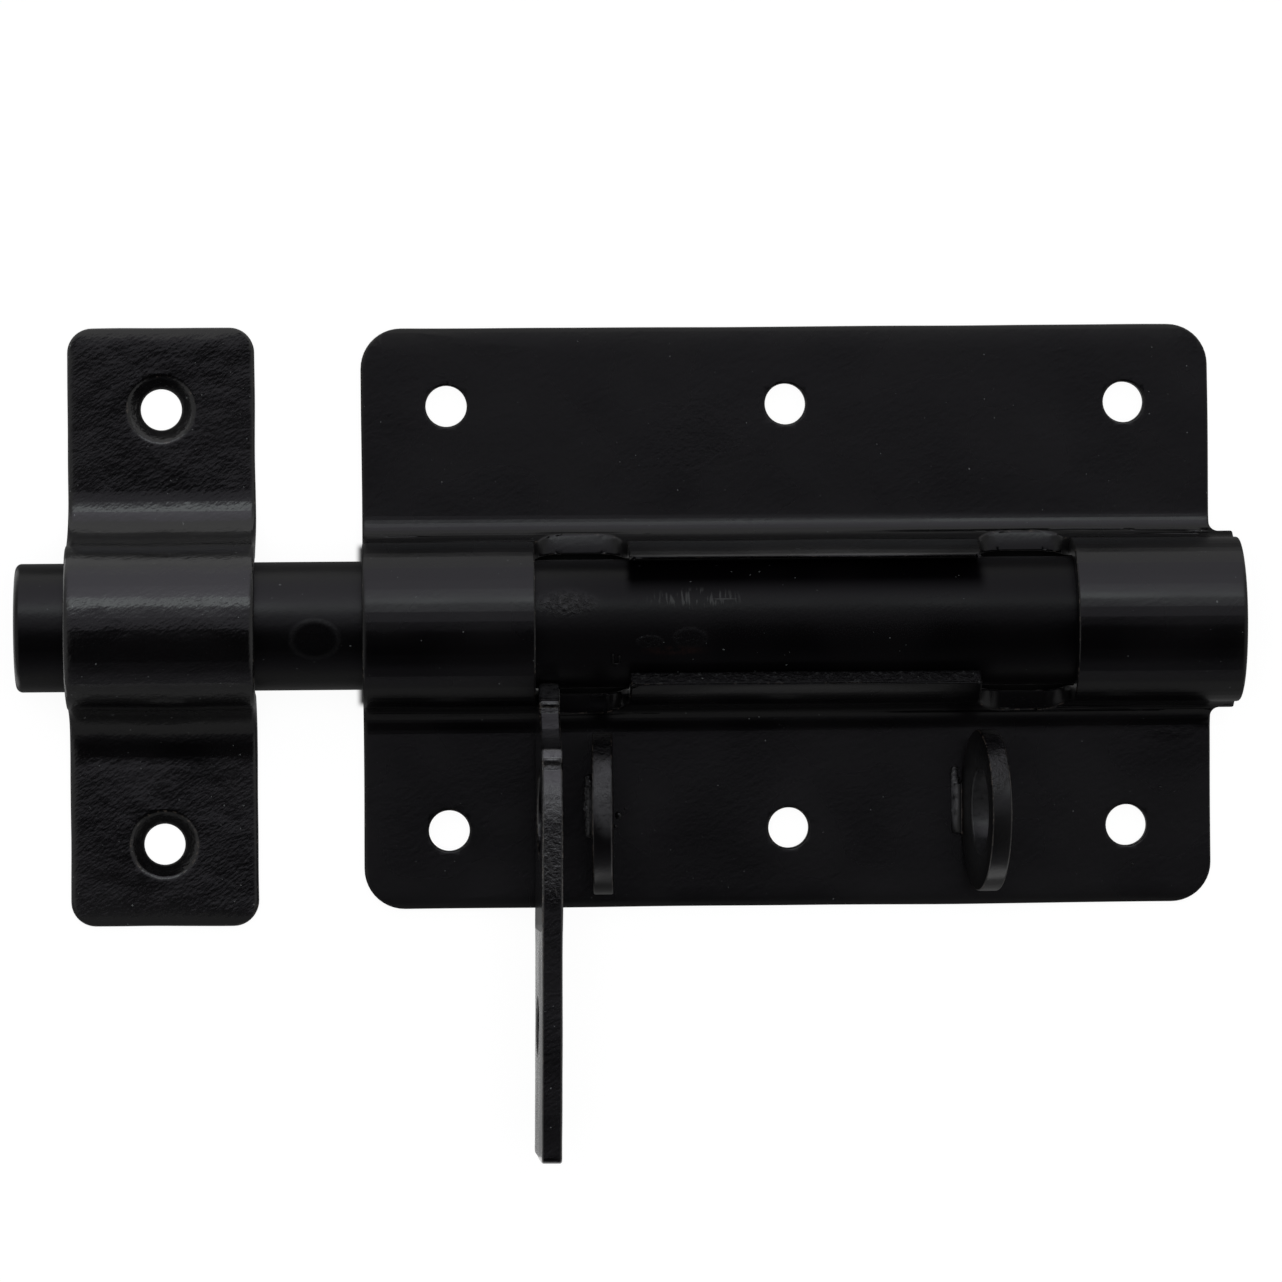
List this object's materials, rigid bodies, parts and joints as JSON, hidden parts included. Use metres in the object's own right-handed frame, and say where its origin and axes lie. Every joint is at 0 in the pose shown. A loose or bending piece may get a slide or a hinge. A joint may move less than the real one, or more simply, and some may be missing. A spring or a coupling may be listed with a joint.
{
  "type": "padbolt",
  "caption": "Black steel sliding bolt with a round bar in a pressed back plate, a drop handle, padlock eyes and a screw-on keeper.",
  "frame": {"origin": "centre of the back plate's screw hole pattern, on the door's surface", "axes": "+X along the bolt, away from its tip, +Y up on the door, +Z out of the door"},
  "size_m": [0.1716, 0.1167, 0.0252],
  "materials": {
    "plate_coat": "satin black powder coat",
    "keeper_coat": "glossy black powder coat with a coarse orange peel",
    "bolt_coat": "black powder coat with sliding scratches",
    "handle_coat": "satin black powder coat, chipped along its edges",
    "eye_coat": "satin black powder coat over weld spatter"
  },
  "bodies": {
    "plate": {"back_plate": "plate_coat", "left_padlock_eye": "eye_coat", "right_padlock_eye": "eye_coat", "keeper": "keeper_coat"},
    "bolt": {"bolt_rod": "bolt_coat"},
    "handle": {"handle": "handle_coat"}
  },
  "joints": [
    {"name": "bolt_slide", "type": "slide", "parent": "plate", "child": "bolt", "axis": [1, 0, 0], "range_m": [0, 0.0037]},
    {"name": "handle_swing", "type": "hinge", "parent": "bolt", "child": "handle", "pos_m": [-0.03388, -0.0009, 0.00925], "axis": [-1, 0, 0], "range_deg": [0, 158]}
  ]
}
